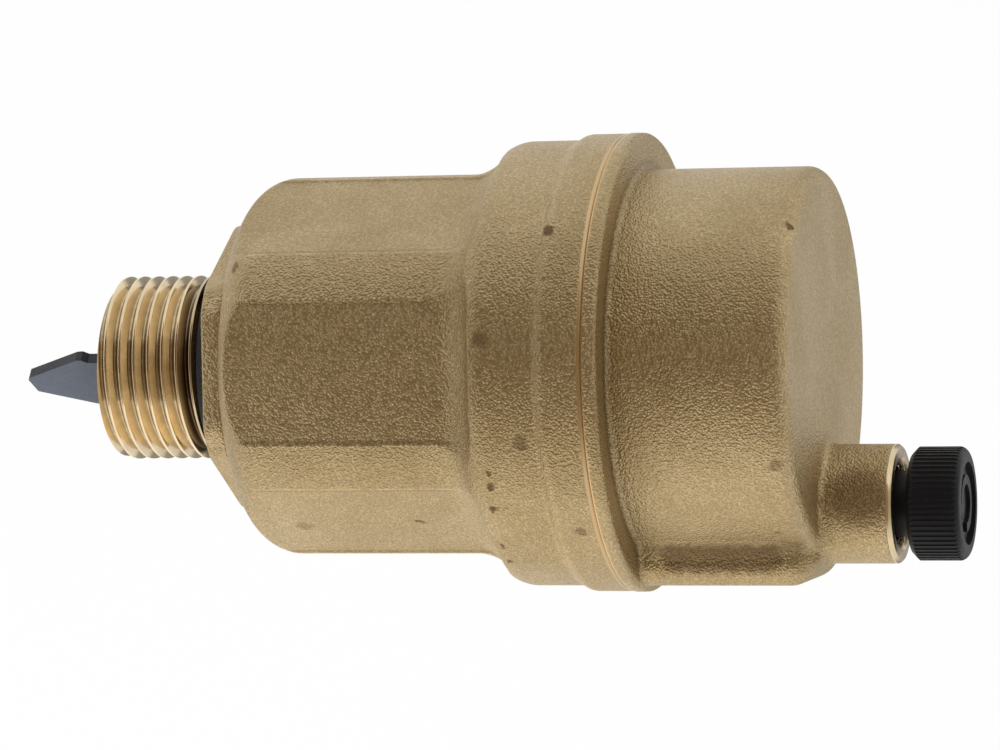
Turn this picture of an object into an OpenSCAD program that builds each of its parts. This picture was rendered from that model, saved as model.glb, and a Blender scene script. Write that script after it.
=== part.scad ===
// Air release valve with a side boss cover, a hand vent screw and a float inside.
// Units are millimetres. Z is the valve axis with the inlet thread pointing down.
// Z zero is the collar face that seats on the inlet gasket. X points to the boss.
// The vent is drawn open and the float is drawn down, as in a valve with no water in it.

/* [Body] */
// Width across the flats of the hexagon collar
collar_af = 23.44; // [22:0.1:25]
// Height of the hexagon collar
collar_h = 1.9; // [1.5:0.1:2.4]
// Diameter of the barrel
barrel_d = 33.86; // [32:0.1:36]
// Depth of the six spanner flats under the barrel
flat_depth = 1.06; // [0.7:0.05:1.3]
// Radius of the hollow where a flat meets the flare
flat_foot_r = 3.6; // [3:0.1:3.8]
// Radius of the rounded shoulder under the barrel
shoulder_r = 4.0; // [2.5:0.1:4.5]
// Wall between the float chamber and the barrel
chamber_wall = 3.43; // [2.9:0.05:3.8]
// Height where the barrel starts to flare out
flare_z = 22.3; // [21:0.1:23]
// Radius of the hollow at the foot of the flare
flare_foot_r = 4.0; // [3:0.1:4.5]
// Radius of the rounding at the top of the flare
flare_top_r = 3.0; // [2:0.1:3.5]
// Step from the barrel out to the flange
flange_step = 2.84; // [2.4:0.05:3.2]
// Step from the flange out to the lip under the joint
lip_step = 0.5; // [0.3:0.05:0.8]
// Height of the lip under the joint
lip_h = 4.2; // [3.5:0.1:4.6]
// Height of the joint between body and cover
joint_z = 36.85; // [36.4:0.05:38]

/* [Inlet] */
// Outside diameter of the pipe thread, G 3/8 cut a little under size
thread_d = 16.6; // [16.4:0.05:16.65]
// Pitch of the pipe thread, 19 to the inch
thread_pitch = 1.337; // [1.25:0.001:1.337]
// Depth of the pipe thread
thread_depth = 0.856; // [0.7:0.01:0.9]
// Number of full thread ridges
thread_ridges = 6; // [5:1:6]
// Length of the threaded end under the collar
thread_len = 11.1; // [10.8:0.1:12]
// Diameter of the inlet bore
inlet_d = 12.8; // [12:0.1:13]
// Outside diameter of the inlet gasket
gasket_d = 19.2; // [18.8:0.1:20]
// Thickness of the inlet gasket
gasket_h = 1.2; // [1:0.05:1.4]
// Thickness of the drip fin
fin_t = 1.08; // [0.8:0.02:1.4]
// Wall of the ring that holds the drip fin
fin_ring_t = 0.75; // [0.6:0.05:0.9]
// Height of the ring that holds the drip fin
fin_ring_h = 3.0; // [2:0.1:3.4]
// Height of the lower edge of that ring over the end of the thread
fin_ring_z = 2.5; // [2:0.1:3.1]
// How far the drip fin stands out past the thread
fin_out = 9.75; // [8:0.05:11]
// Angle of the drip fin around the axis
fin_turn = 50; // [40:1:65]

/* [Cover] */
// Diameter of the round cap
cap_d = 34.12; // [33:0.1:36]
// Height of the cap top
cap_top_z = 53.6; // [53.2:0.1:55]
// Rounding of the cap top edge
cap_edge_r = 1.7; // [1:0.1:2.2]
// Step from the lip of the body out to the joint ring
ring_step = 0.08; // [-0.3:0.02:0.4]
// Height of the curved back of the joint ring
ring_h = 3.8; // [3.5:0.1:4.2]
// Wall between the float chamber and the cap
cap_wall = 3.76; // [3.4:0.05:4.2]
// Thickness of the cap top
cap_top_t = 3.4; // [3.1:0.05:3.6]
// How far the cover spigot goes into the body
spigot_len = 6.4; // [5.8:0.1:6.8]
// Wire diameter of the seal on the cover spigot
cover_seal_d = 1.0; // [0.9:0.02:1.1]
// Distance from the joint down to that seal
cover_seal_down = 2.1; // [1.8:0.05:2.6]
// Wall of the cover spigot
spigot_wall = 2.2; // [2:0.05:2.5]

/* [Vent nozzle] */
// Distance from the valve axis to the nozzle axis
nozzle_x = 12.63; // [12.4:0.05:13]
// Diameter of the nozzle
nozzle_d = 10.5; // [10:0.1:11]
// Height of the nozzle rim
nozzle_top_z = 60.4; // [60:0.1:61.5]
// Diameter of the nozzle bore
nozzle_bore_d = 7.2; // [6.8:0.05:7.6]
// Radius of the boss that carries the nozzle
boss_r = 7.1; // [6.9:0.05:7.6]
// Rounding at the top of the boss
boss_edge_r = 2.0; // [1.2:0.1:2.2]
// Radius of the hollow at the foot of the nozzle
nozzle_foot_r = 1.0; // [0.6:0.05:1.4]
// Radius of the hollow between boss and cap
boss_hollow_r = 3.0; // [2:0.1:4]
// Wall around the lever pocket in the boss
pocket_wall = 2.1; // [1.8:0.05:2.2]
// Height of the seat tip
seat_tip_z = 46.2; // [45.8:0.05:46.4]
// Diameter of the seat shank
shank_d = 4.4; // [4:0.05:4.6]
// Length of the narrow nose of the seat
nose_h = 1.2; // [1:0.05:1.4]
// Thickness of the seat flange
seat_flange_t = 0.9; // [0.7:0.05:1.1]
// Length of the hole that holds the seat shank
seat_hold = 2.8; // [2.4:0.05:3]
// Wire diameter of the seat seal
seat_seal_d = 0.66; // [0.5:0.02:0.7]
// Diameter of the hole in the seat
seat_hole_d = 1.2; // [0.8:0.05:1.5]

/* [Vent screw] */
// Diameter of the knob over the ridges
knob_d = 9.98; // [9.4:0.02:10.4]
// Height of the knob
knob_h = 4.75; // [4.4:0.05:5.2]
// Open gap between knob and nozzle rim
knob_gap = 1.15; // [1.15:0.05:1.4]
// Number of grip ridges on the knob
knob_ridges = 60; // [48:1:64]
// Depth of the grooves between the grip ridges
knob_groove = 0.16; // [0.1:0.01:0.2]
// Diameter of the neck under the knob
neck_d = 5.8; // [5.4:0.05:6]
// Pitch of the vent screw thread
screw_pitch = 1.0; // [0.75:0.05:1]

/* [Float] */
// Gap around the float in the chamber
float_gap = 0.7; // [0.5:0.05:1.1]
// Height of the float bottom with no water in the valve
float_z = 7.2; // [7:0.1:8]
// Height of the float without its hook
float_h = 25.0; // [24:0.1:26]
// Wall of the float shell
float_wall = 0.8; // [0.6:0.05:1]
// Thickness of the float lid
lid_t = 1.2; // [1:0.05:1.5]
// Depth of the plug under the float lid
plug_h = 1.8; // [1.5:0.05:2.2]
// Diameter of the foot of the float hook
hook_foot_d = 8.8; // [8:0.1:9.6]
// Thickness of the foot and of each cheek of the float hook
hook_t = 0.9; // [0.8:0.05:1.1]
// Width of the cheeks of the float hook
hook_w = 3.6; // [3.2:0.1:4]
// Diameter of the pin across the float hook
hook_pin_d = 1.2; // [1:0.05:1.3]
// Travel of the float from hanging to the vent shut
float_travel = 3.4; // [2.8:0.05:3.6]

/* [Lever] */
// Distance from the valve axis to the lever pin
pivot_x = 15.4; // [15.2:0.05:15.5]
// Width of the lever
lever_w = 3.4; // [3:0.05:3.6]
// Thickness of the lever
lever_t = 1.6; // [1.4:0.05:1.8]
// Diameter of the lever pin
pin_d = 1.2; // [1:0.05:1.3]
// Thickness of the rubber pad
pad_h = 0.8; // [0.7:0.05:1]
// Diameter of the rubber pad
pad_d = 3.0; // [2.6:0.05:3.2]

/* [Fits] */
// Radial running clearance of pins and screws
run_gap = 0.05; // [0.02:0.01:0.08]
// Radial gap between parts that are put together and stay
seat_gap = 0.02; // [0.01:0.01:0.04]
// Side gap between the lever and the cheeks beside it
side_gap = 0.2; // [0.15:0.05:0.3]
// Gap that the hook pin has in the lever slot
slot_gap = 0.3; // [0.25:0.05:0.4]

/* [Hidden] */
$fn = 96;
// Small overlap used when solids are cut or joined
e = 0.02;
barrel_r = barrel_d / 2;
flat_apothem = barrel_r - flat_depth;
chamber_r = barrel_r - chamber_wall;
flange_r = barrel_r + flange_step;
lip_r = flange_r + lip_step;
lip_z = joint_z - lip_h;
flare_sum = flare_foot_r + flare_top_r;
flare_h = sqrt(2 * flange_step * flare_sum - flange_step * flange_step);
flare_mid_x = barrel_r + flare_foot_r - flare_foot_r * (flare_sum - flange_step) / flare_sum;
flare_mid_z = flare_z + flare_foot_r * flare_h / flare_sum;
thread_r = thread_d / 2;
root_r = thread_r - thread_depth;
flank = thread_depth * tan(27.5);
crest = (thread_pitch - 2 * flank) / 2;
first_crest_z = -thread_len + 0.86;
inlet_r = inlet_d / 2;
fin_foot_z = -thread_len + fin_ring_z;
floor_z = float_z - 1.6;
cap_r = cap_d / 2;
ring_r = lip_r + ring_step;
ring_back = ring_r - cap_r;
ring_arc = (ring_h * ring_h + ring_back * ring_back) / (4 * ring_back);
cap_bore_r = cap_r - cap_wall;
ceiling_z = cap_top_z - cap_top_t;
spigot_r = cap_bore_r + spigot_wall;
socket_r = spigot_r + run_gap;
spigot_z = joint_z - spigot_len;
cover_seal_z = joint_z - cover_seal_down;
socket_z = spigot_z - 0.4;
nozzle_r = nozzle_d / 2;
nozzle_bore_r = nozzle_bore_d / 2;
boss_edge_z = cap_top_z - 2.4;
boss_step = boss_r - nozzle_r;
boss_sum = boss_edge_r + nozzle_foot_r;
boss_fall = sqrt(2 * boss_step * boss_sum - boss_step * boss_step);
boss_mid_x = boss_r - boss_edge_r + boss_edge_r * (boss_sum - boss_step) / boss_sum;
boss_mid_z = boss_edge_z + boss_edge_r * boss_fall / boss_sum;
hollow_x = ((cap_r + boss_hollow_r) * (cap_r + boss_hollow_r)
    - (boss_r + boss_hollow_r) * (boss_r + boss_hollow_r)
    + nozzle_x * nozzle_x) / (2 * nozzle_x);
hollow_y = sqrt((cap_r + boss_hollow_r) * (cap_r + boss_hollow_r) - hollow_x * hollow_x);
pocket_r = boss_r - pocket_wall;
// Shoulder in the nozzle bore that the seat flange rests on
seat_shelf_z = ceiling_z + seat_hold;
seat_flange_z = seat_shelf_z + seat_flange_t;
shank_r = shank_d / 2;
seat_hole_r = seat_hole_d / 2;
// Half widths from the lever out to the bracket cheeks
cheek_in = lever_w / 2 + side_gap;
cheek_t = 0.7;
// Lever pin height that brings the pad up to the seat tip when the float is up
pad_rest = 0.05;
pivot_z = seat_tip_z - pad_rest - pad_h - lever_t / 2;
lever_tilt = float_travel / pivot_x * 180 / PI;
pin_r = pin_d / 2;
hook_x = pivot_x * (1 - cos(lever_tilt)) / 2;
hook_z = pivot_z - pivot_x * sin(lever_tilt);
hook_pin_r = hook_pin_d / 2;
eye_h = hook_pin_r + slot_gap + 1.0;
float_r = min(chamber_r, cap_bore_r) - float_gap;
float_top_z = float_z + float_h;
bracket_t = 1.0;
bracket_screw_x = 6.0;
bracket_screw_y = 4.6;
knob_r = knob_d / 2;
knob_z = nozzle_top_z + knob_gap;
neck_r = neck_d / 2;
screw_r = nozzle_bore_r - run_gap;
stem_z = seat_flange_z + 1.1;
ring_seal_r = 1.6;

// Outline of a hexagon with flats square to Y
module hexagon(apothem) {
  circle(r = apothem / cos(30), $fn = 6);
}

// Piece that is cut from a square corner at x, z to round it
module corner_off(x, z, r, sx, sz) {
  translate([x - sx * r, z - sz * r])
    difference() {
      translate([sx > 0 ? 0 : -r - e, sz > 0 ? 0 : -r - e])
        square(r + e);
      circle(r = r);
    }
}

// Ring seal of round section
module seal_ring(z, centre_r, wire_r) {
  translate([0, 0, z])
    rotate_extrude()
      translate([centre_r, 0])
        circle(r = wire_r, $fn = 48);
}

// Plain tube between two heights
module tube(z0, z1, outer_r, inner_r) {
  translate([0, 0, z0])
    linear_extrude(z1 - z0)
      difference() {
        circle(r = outer_r);
        circle(r = inner_r);
      }
}

// Half section of the inlet thread, ridge by ridge from the free end
function ridge(i) = let (z = first_crest_z + i * thread_pitch)
  [[root_r, z - crest / 2 - flank], [thread_r, z - crest / 2],
   [thread_r, z + crest / 2], [root_r, z + crest / 2 + flank]];

module thread_section() {
  ridges = [for (i = [0 : thread_ridges - 1], p = ridge(i)) p];
  intersection() {
    polygon(concat([[0, -thread_len], [root_r, -thread_len]], ridges, [[root_r, e], [0, e]]));
    polygon([[0, -thread_len], [root_r + 0.1, -thread_len], [thread_r, -thread_len + 0.75],
      [thread_r + 1, -thread_len + 0.75], [thread_r + 1, 1], [0, 1]]);
  }
}

// Half section of barrel with its rounded shoulder
module barrel_section() {
  difference() {
    translate([0, collar_h])
      square([barrel_r, flare_z + 3.4 - collar_h]);
    corner_off(barrel_r, collar_h, shoulder_r, 1, -1);
  }
}

// Half section of flare, flange and lip
module flange_section() {
  difference() {
    union() {
      polygon([[0, flare_z], [barrel_r, flare_z], [flare_mid_x, flare_mid_z],
        [flange_r, flare_z + flare_h], [flange_r, lip_z - 0.3], [lip_r, lip_z + 0.4],
        [lip_r, joint_z - 0.25], [lip_r - 0.25, joint_z], [0, joint_z]]);
      translate([flange_r - flare_top_r, flare_z + flare_h])
        circle(r = flare_top_r);
    }
    translate([barrel_r + flare_foot_r, flare_z])
      circle(r = flare_foot_r);
  }
}

// Six cutters that leave the spanner flats, each hollow where it meets the flare
module flats_cut() {
  half = sqrt(barrel_r * barrel_r - flat_apothem * flat_apothem) + 0.15;
  for (i = [0 : 5])
    rotate([0, 0, 30 + 60 * i])
      translate([0, half, 0])
        rotate([90, 0, 0])
          linear_extrude(2 * half)
            union() {
              translate([flat_apothem, -1])
                square([8, flare_z + 1.6]);
              translate([flat_apothem + flat_foot_r, flare_z + 0.6])
                circle(r = flat_foot_r);
            }
}

module body() {
  color([0.74, 0.62, 0.42])
    difference() {
      union() {
        rotate_extrude()
          thread_section();
        linear_extrude(collar_h + 1)
          hexagon(collar_af / 2);
        difference() {
          union() {
            rotate_extrude()
              barrel_section();
            rotate_extrude()
              flange_section();
          }
          flats_cut();
        }
      }
      // Inlet bore, sloping floor, float chamber and cover socket
      rotate_extrude()
        polygon([[0, -thread_len - 1], [inlet_r + 0.4 + 1, -thread_len - 1],
          [inlet_r, -thread_len + 0.4], [inlet_r, floor_z - 1.4], [chamber_r - 0.6, floor_z],
          [chamber_r, floor_z + 0.6], [chamber_r, socket_z - 1], [socket_r, socket_z],
          [socket_r, joint_z - 0.3], [socket_r + 0.3 + e, joint_z + e], [0, joint_z + e]]);
    }
}

module inlet_gasket() {
  color([0.12, 0.13, 0.16])
    tube(-gasket_h, 0, gasket_d / 2, thread_r + seat_gap);
}

// Plastic blade that leads drops out of the inlet
module drip_fin() {
  tip = -thread_len - fin_out;
  side = inlet_r - fin_ring_t - 0.6;
  color([0.40, 0.43, 0.48])
    rotate([0, 0, fin_turn])
      translate([0, fin_t / 2, 0])
        rotate([90, 0, 0])
          linear_extrude(fin_t)
            polygon([[-1.45, fin_foot_z + fin_ring_h], [-1.45, tip + 6.45], [-1.83, tip + 5.9],
              [-1.78, tip + 5.35], [0.72, tip + 0.12], [1.0, tip], [2.69, tip + 0.45],
              [side, tip + 6.75], [side, fin_foot_z - 0.4], [inlet_r - 0.15, fin_foot_z],
              [inlet_r - 0.15, fin_foot_z + fin_ring_h]]);
}

// Split ring that springs open in the inlet bore and grips the edge of the fin
module fin_ring() {
  gap = fin_t + 2 * seat_gap;
  color([0.36, 0.38, 0.42])
    difference() {
      tube(fin_foot_z, fin_foot_z + fin_ring_h, inlet_r - seat_gap, inlet_r - fin_ring_t);
      rotate([0, 0, fin_turn])
        translate([inlet_r - 3, -gap / 2, fin_foot_z - 1])
          cube([6, gap, fin_ring_h + 2]);
    }
}

// Points up the curved back of the joint ring, rounded first and hollow after
ring_steps = 6;
ring_turn = acos(1 - ring_back / (2 * ring_arc));

function ring_round(t) = [ring_r - ring_arc + ring_arc * cos(t), joint_z + ring_arc * sin(t)];

function ring_hollow(t) = [cap_r + ring_arc - ring_arc * cos(t), joint_z + ring_h - ring_arc * sin(t)];

// Half section of the cap with its joint ring
module cap_section() {
  rise = [for (i = [0 : ring_steps]) ring_round(ring_turn * (0.08 + 0.92 * i / ring_steps))];
  fall = [for (i = [1 : ring_steps]) ring_hollow(ring_turn * (1 - i / ring_steps))];
  difference() {
    polygon(concat([[0, joint_z], [ring_r - 0.2, joint_z]], rise, fall,
      [[cap_r, cap_top_z], [0, cap_top_z]]));
    corner_off(cap_r, cap_top_z, cap_edge_r, 1, 1);
  }
}

// Half section of boss and nozzle about the nozzle axis
module nozzle_section() {
  difference() {
    union() {
      polygon([[0, joint_z + 0.6], [boss_r, joint_z + 0.6], [boss_r, boss_edge_z],
        [boss_mid_x, boss_mid_z], [nozzle_r, boss_edge_z + boss_fall],
        [nozzle_r, nozzle_top_z - 0.45], [nozzle_r - 0.45, nozzle_top_z], [0, nozzle_top_z]]);
      translate([boss_r - boss_edge_r, boss_edge_z])
        circle(r = boss_edge_r);
    }
    translate([nozzle_r + nozzle_foot_r, boss_edge_z + boss_fall])
      circle(r = nozzle_foot_r);
  }
}

// Web that fills the hollows between boss and cap
module boss_web() {
  translate([0, 0, joint_z + 1])
    linear_extrude(boss_edge_z - joint_z - 1.4)
      difference() {
        polygon([[0, 0], [hollow_x, -hollow_y], [nozzle_x, 0], [hollow_x, hollow_y]]);
        translate([hollow_x, hollow_y])
          circle(r = boss_hollow_r + e / 2);
        translate([hollow_x, -hollow_y])
          circle(r = boss_hollow_r + e / 2);
      }
}

module cover() {
  color([0.72, 0.60, 0.40])
    difference() {
      union() {
        rotate([0, 0, 140])
          rotate_extrude()
            cap_section();
        translate([nozzle_x, 0, 0])
          rotate([0, 0, 40])
            rotate_extrude()
              nozzle_section();
        boss_web();
        translate([0, 0, spigot_z])
          cylinder(r = spigot_r, h = spigot_len + 1);
      }
      // Float chamber
      translate([0, 0, spigot_z - 1])
        cylinder(r = cap_bore_r, h = ceiling_z - spigot_z + 1);
      // Lever pocket in the boss
      translate([nozzle_x, 0, pivot_z - 3.2])
        cylinder(r = pocket_r, h = ceiling_z - pivot_z + 3.2);
      // Seat hole, vent bore and rim bevel
      translate([nozzle_x, 0, 0])
        rotate_extrude()
          polygon([[0, ceiling_z - 1], [shank_r + seat_gap, ceiling_z - 1],
            [shank_r + seat_gap, seat_shelf_z], [nozzle_bore_r, seat_shelf_z],
            [nozzle_bore_r, nozzle_top_z - 0.6], [nozzle_bore_r + 0.6 + e, nozzle_top_z + e],
            [0, nozzle_top_z + e]]);
      // Groove for the seal against the body
      tube(cover_seal_z - 0.8 * cover_seal_d, cover_seal_z + 0.8 * cover_seal_d,
        spigot_r + 1, spigot_r - cover_seal_d - 0.1);
      // Holes for the two bracket screws
      for (s = [-1, 1])
        translate([bracket_screw_x, s * bracket_screw_y, ceiling_z - 1])
          cylinder(r = 1.0 + seat_gap, h = 3.4);
    }
}

module cover_seal() {
  color([0.10, 0.10, 0.11])
    seal_ring(cover_seal_z, spigot_r - cover_seal_d / 2, cover_seal_d / 2);
}

// Hollow cup, closed by the lid
module float_shell() {
  color([0.90, 0.89, 0.84])
    rotate_extrude()
      difference() {
        translate([0, float_z])
          square([float_r, float_h - lid_t]);
        translate([0, float_z + float_wall])
          square([float_r - float_wall, float_h]);
        corner_off(float_r, float_z, 0.6, 1, -1);
      }
}

module float_lid() {
  plug_r = float_r - float_wall - seat_gap;
  color([0.86, 0.85, 0.80])
    rotate_extrude()
      difference() {
        union() {
          translate([0, float_top_z - lid_t])
            square([float_r, lid_t]);
          translate([plug_r - lid_t, float_top_z - lid_t - plug_h])
            square([lid_t, plug_h + e]);
        }
        corner_off(float_r, float_top_z, 0.5, 1, 1);
      }
}

// Fork on the lid that reaches up to the lever
module float_hook() {
  color([0.82, 0.80, 0.74])
    difference() {
      union() {
        translate([hook_x, 0, float_top_z])
          cylinder(r = hook_foot_d / 2, h = hook_t);
        for (s = [-1, 1])
          translate([hook_x - hook_w / 2, s > 0 ? cheek_in : -cheek_in - hook_t, float_top_z])
            cube([hook_w, hook_t, hook_z + hook_w / 2 - float_top_z]);
      }
      translate([hook_x, 5, hook_z])
        rotate([90, 0, 0])
          cylinder(r = hook_pin_r + seat_gap, h = 10);
    }
}

module hook_pin() {
  color([0.78, 0.78, 0.76])
    translate([hook_x, cheek_in + hook_t + 0.2, hook_z])
      rotate([90, 0, 0])
        cylinder(r = hook_pin_r, h = 2 * (cheek_in + hook_t + 0.2));
}

// Places a child that is drawn about the lever pin with the lever level
module at_lever() {
  translate([pivot_x, 0, pivot_z])
    rotate([0, -lever_tilt, 0])
      children();
}

module lever() {
  half = lever_w / 2;
  arm = pivot_x;
  slot_h = hook_pin_r + slot_gap;
  slot_x = hook_x + 0.8;
  color([0.80, 0.78, 0.70])
    at_lever()
      difference() {
        union() {
          translate([0, half, 0])
            rotate([90, 0, 0])
              cylinder(r = pin_r + 0.7, h = lever_w);
          translate([-arm, -half, -lever_t / 2])
            cube([arm, lever_w, lever_t]);
          translate([-arm - slot_x - slot_h - 0.9, -half, -eye_h])
            cube([2 * (slot_x + slot_h + 0.9), lever_w, 2 * eye_h]);
        }
        translate([0, half + 1, 0])
          rotate([90, 0, 0])
            cylinder(r = pin_r + run_gap, h = lever_w + 2);
        // Slot for the hook pin
        for (s = [-1, 1])
          translate([-arm + s * slot_x, half + 1, 0])
            rotate([90, 0, 0])
              cylinder(r = slot_h, h = lever_w + 2);
        translate([-arm - slot_x, -half - 1, -slot_h])
          cube([2 * slot_x, lever_w + 2, 2 * slot_h]);
        // Hole for the stalk of the pad
        translate([nozzle_x - pivot_x, 0, -lever_t])
          cylinder(r = 0.5 + seat_gap, h = 2 * lever_t);
      }
}

module lever_pin() {
  reach = cheek_in + cheek_t + 0.15;
  color([0.80, 0.80, 0.79])
    translate([pivot_x, reach, pivot_z])
      rotate([90, 0, 0])
        cylinder(r = pin_r, h = 2 * reach);
}

// Plate under the cap top with two cheeks that hold the lever pin
module lever_bracket() {
  cheek_z = pivot_z - pin_r - 0.7;
  cheek_x = pin_r + 0.5;
  color([0.76, 0.76, 0.75])
    difference() {
      union() {
        translate([bracket_screw_x - 2.2, -bracket_screw_y - 2.2, ceiling_z - bracket_t])
          cube([4.4, 2 * bracket_screw_y + 4.4, bracket_t]);
        translate([bracket_screw_x, -cheek_in - cheek_t, ceiling_z - bracket_t])
          cube([pivot_x + cheek_x - bracket_screw_x, 2 * (cheek_in + cheek_t), bracket_t]);
        for (s = [-1, 1])
          translate([pivot_x - cheek_x, s > 0 ? cheek_in : -cheek_in - cheek_t, cheek_z])
            cube([2 * cheek_x, cheek_t, ceiling_z - cheek_z]);
      }
      translate([nozzle_x, 0, ceiling_z - 3])
        cylinder(r = shank_r + 0.25, h = 4);
      for (s = [-1, 1])
        translate([bracket_screw_x, s * bracket_screw_y, ceiling_z - 3])
          cylinder(r = 1.0 + 0.1, h = 4);
      translate([pivot_x, 6, pivot_z])
        rotate([90, 0, 0])
          cylinder(r = pin_r + seat_gap, h = 12);
    }
}

// Small pan head screw with a cross slot
module bracket_screw(y) {
  under_z = ceiling_z - bracket_t;
  color([0.82, 0.82, 0.81])
    translate([bracket_screw_x, y, 0])
      difference() {
        union() {
          translate([0, 0, under_z])
            cylinder(r = 1.0, h = bracket_t + 2.2);
          translate([0, 0, under_z - 1.1])
            cylinder(r = 1.8, h = 1.1);
        }
        translate([-1.2, -0.2, under_z - 1.2])
          cube([2.4, 0.4, 0.7]);
        translate([-0.2, -1.2, under_z - 1.2])
          cube([0.4, 2.4, 0.7]);
      }
}

module bracket_screw_a() {
  bracket_screw(-bracket_screw_y);
}

module bracket_screw_b() {
  bracket_screw(bracket_screw_y);
}

// Seat that goes in from the nozzle and points down at the pad
module seat_insert() {
  seal_z = ceiling_z + seat_hold / 2;
  half = seat_seal_d / 2 + 0.12;
  bed_r = shank_r - seat_seal_d - 0.04;
  color([0.80, 0.66, 0.36])
    translate([nozzle_x, 0, 0])
      rotate_extrude()
        polygon([[seat_hole_r, seat_tip_z], [seat_hole_r + 0.5, seat_tip_z],
          [seat_hole_r + 0.8, seat_tip_z + nose_h], [shank_r, seat_tip_z + nose_h],
          [shank_r, seal_z - half], [bed_r, seal_z - half], [bed_r, seal_z + half],
          [shank_r, seal_z + half], [shank_r, seat_shelf_z],
          [nozzle_bore_r - 0.2, seat_shelf_z], [nozzle_bore_r - 0.2, seat_flange_z],
          [seat_hole_r + 0.3, seat_flange_z], [seat_hole_r, seat_flange_z - 0.3]]);
}

module seat_seal() {
  color([0.10, 0.10, 0.11])
    translate([nozzle_x, 0, 0])
      seal_ring(ceiling_z + seat_hold / 2, shank_r - seat_seal_d / 2, seat_seal_d / 2);
}

// Rubber pad with a stalk through the lever
module valve_pad() {
  color([0.14, 0.14, 0.15])
    at_lever()
      translate([nozzle_x - pivot_x, 0, 0]) {
        translate([0, 0, lever_t / 2])
          cylinder(r = pad_d / 2, h = pad_h);
        translate([0, 0, -lever_t / 2 - e])
          cylinder(r = 0.5, h = lever_t + 2 * e);
        translate([0, 0, -lever_t / 2 - 0.5])
          cylinder(r = 0.9, h = 0.5);
      }
}

module vent_stem() {
  thread_z = stem_z + 0.6;
  thread_top = nozzle_top_z - 1.5;
  color([0.11, 0.11, 0.12])
    translate([nozzle_x, 0, 0])
      difference() {
        union() {
          translate([0, 0, stem_z])
            cylinder(r = 2.4, h = 1);
          translate([0, 0, thread_z])
            cylinder(r = screw_r, h = thread_top - thread_z);
          translate([0, 0, thread_top - 1])
            cylinder(r = neck_r, h = knob_z + 2.2 - thread_top + 1);
        }
        // Groove for the face seal
        tube(stem_z - 1, stem_z + 0.65, ring_seal_r + 0.4, ring_seal_r - 0.4);
        // Two flats along the thread that let the air out
        for (s = [-1, 1])
          translate([-5, s > 0 ? neck_r : -neck_r - 3, thread_z - 2])
            cube([10, 3, thread_top - thread_z + 3]);
      }
}

module stem_seal() {
  color([0.09, 0.09, 0.10])
    translate([nozzle_x, 0, 0])
      seal_ring(stem_z + 0.3, ring_seal_r, 0.35);
}

// Curved arrow that stands up from the floor of the knob face
module knob_arrow() {
  difference() {
    circle(r = 2.5);
    circle(r = 1.7);
    translate([0, -4])
      square([4, 4]);
  }
  translate([0, -2.1])
    polygon([[-0.1, -1.0], [1.3, 0], [-0.1, 1.0]]);
}

module vent_knob() {
  top_z = knob_z + knob_h;
  face_r = knob_r - 1.35;
  color([0.10, 0.10, 0.11])
    translate([nozzle_x, 0, 0]) {
      difference() {
        intersection() {
          translate([0, 0, knob_z])
            linear_extrude(knob_h)
              difference() {
                circle(r = knob_r);
                for (i = [0 : knob_ridges - 1])
                  rotate(i * 360 / knob_ridges)
                    translate([knob_r + 0.02, 0])
                      circle(r = knob_groove + 0.02, $fn = 24);
              }
          rotate_extrude()
            difference() {
              polygon([[0, knob_z], [knob_r - 0.55, knob_z], [knob_r + e, knob_z + 0.55],
                [knob_r + e, top_z], [0, top_z]]);
              corner_off(knob_r + e, top_z, 0.8, 1, 1);
            }
        }
        translate([0, 0, top_z - 0.5])
          cylinder(r = face_r, h = 1);
        translate([0, 0, knob_z - 1])
          cylinder(r = neck_r + run_gap, h = 1 + 2.5);
      }
      translate([0, 0, top_z - 0.5 - e])
        linear_extrude(0.35)
          knob_arrow();
    }
}

body();
inlet_gasket();
drip_fin();
fin_ring();
cover();
cover_seal();
float_shell();
float_lid();
float_hook();
hook_pin();
lever();
lever_pin();
lever_bracket();
bracket_screw_a();
bracket_screw_b();
seat_insert();
seat_seal();
valve_pad();
vent_stem();
stem_seal();
vent_knob();
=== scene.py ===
import math

import bmesh
import bpy
import numpy as np
from mathutils import Matrix, Vector


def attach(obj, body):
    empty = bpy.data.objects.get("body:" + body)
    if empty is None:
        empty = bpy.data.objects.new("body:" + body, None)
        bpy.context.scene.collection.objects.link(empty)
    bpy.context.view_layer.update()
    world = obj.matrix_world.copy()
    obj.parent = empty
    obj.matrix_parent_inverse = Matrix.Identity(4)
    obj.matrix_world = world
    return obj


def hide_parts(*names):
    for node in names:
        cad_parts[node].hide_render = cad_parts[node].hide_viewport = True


bl_info = {
    "name": "Air release valve dressing",
    "version": (1, 0, 0),
    "blender": (4, 5, 0),
    "location": "3D View > Sidebar > Valve",
    "description": "Forged, turned and moulded pieces of a float air vent over its packed model",
    "category": "Object",
}

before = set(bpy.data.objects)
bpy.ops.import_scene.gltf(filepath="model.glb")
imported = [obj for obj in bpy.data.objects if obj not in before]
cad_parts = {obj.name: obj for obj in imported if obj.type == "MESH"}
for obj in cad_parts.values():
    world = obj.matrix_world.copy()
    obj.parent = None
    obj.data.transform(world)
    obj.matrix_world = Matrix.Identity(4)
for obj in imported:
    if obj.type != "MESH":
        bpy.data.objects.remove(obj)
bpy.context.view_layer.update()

MM = 0.001
TURN = 2 * math.pi


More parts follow.
